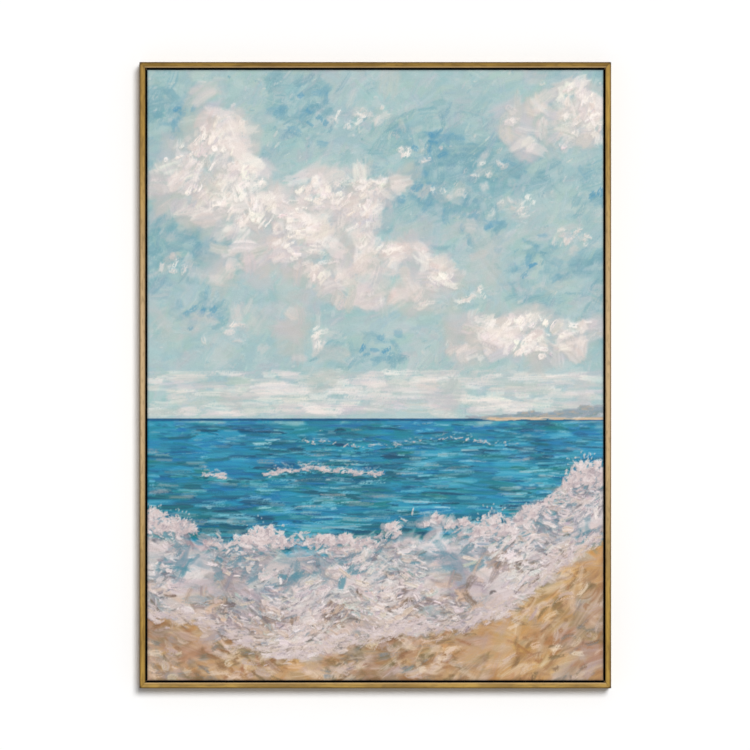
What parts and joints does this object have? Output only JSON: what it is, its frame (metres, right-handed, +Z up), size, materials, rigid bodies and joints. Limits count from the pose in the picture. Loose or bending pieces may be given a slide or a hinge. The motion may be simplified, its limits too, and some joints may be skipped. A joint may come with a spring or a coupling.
{
  "type": "framed oil painting",
  "caption": "Upright impasto seascape on stretched canvas in a slim gilt floater frame, made to hang on a wall.",
  "frame": {"origin": "the middle of the frame's top length, on its flat back, where it meets the wall", "axes": "+Z up, +Y into the wall, +X to the right of someone who looks at the picture"},
  "size_m": [0.775, 0.0356, 1.0291],
  "materials": {
    "gilt_frame": "satin gold metallic paint over wood, black inside",
    "pine": "planed and bare",
    "canvas_cloth": "plain-woven cotton duck, primed on its face",
    "oil_paint": "thick oil paint, satin, worked with brush and knife"
  },
  "bodies": {
    "root": {"frame_top": "gilt_frame", "frame_right": "gilt_frame", "frame_bottom": "gilt_frame", "frame_left": "gilt_frame", "stretcher_bar_top": "pine", "stretcher_bar_right": "pine", "stretcher_bar_bottom": "pine", "stretcher_bar_left": "pine", "canvas": "canvas_cloth", "oil_paint": "oil_paint"}
  },
  "joints": []
}
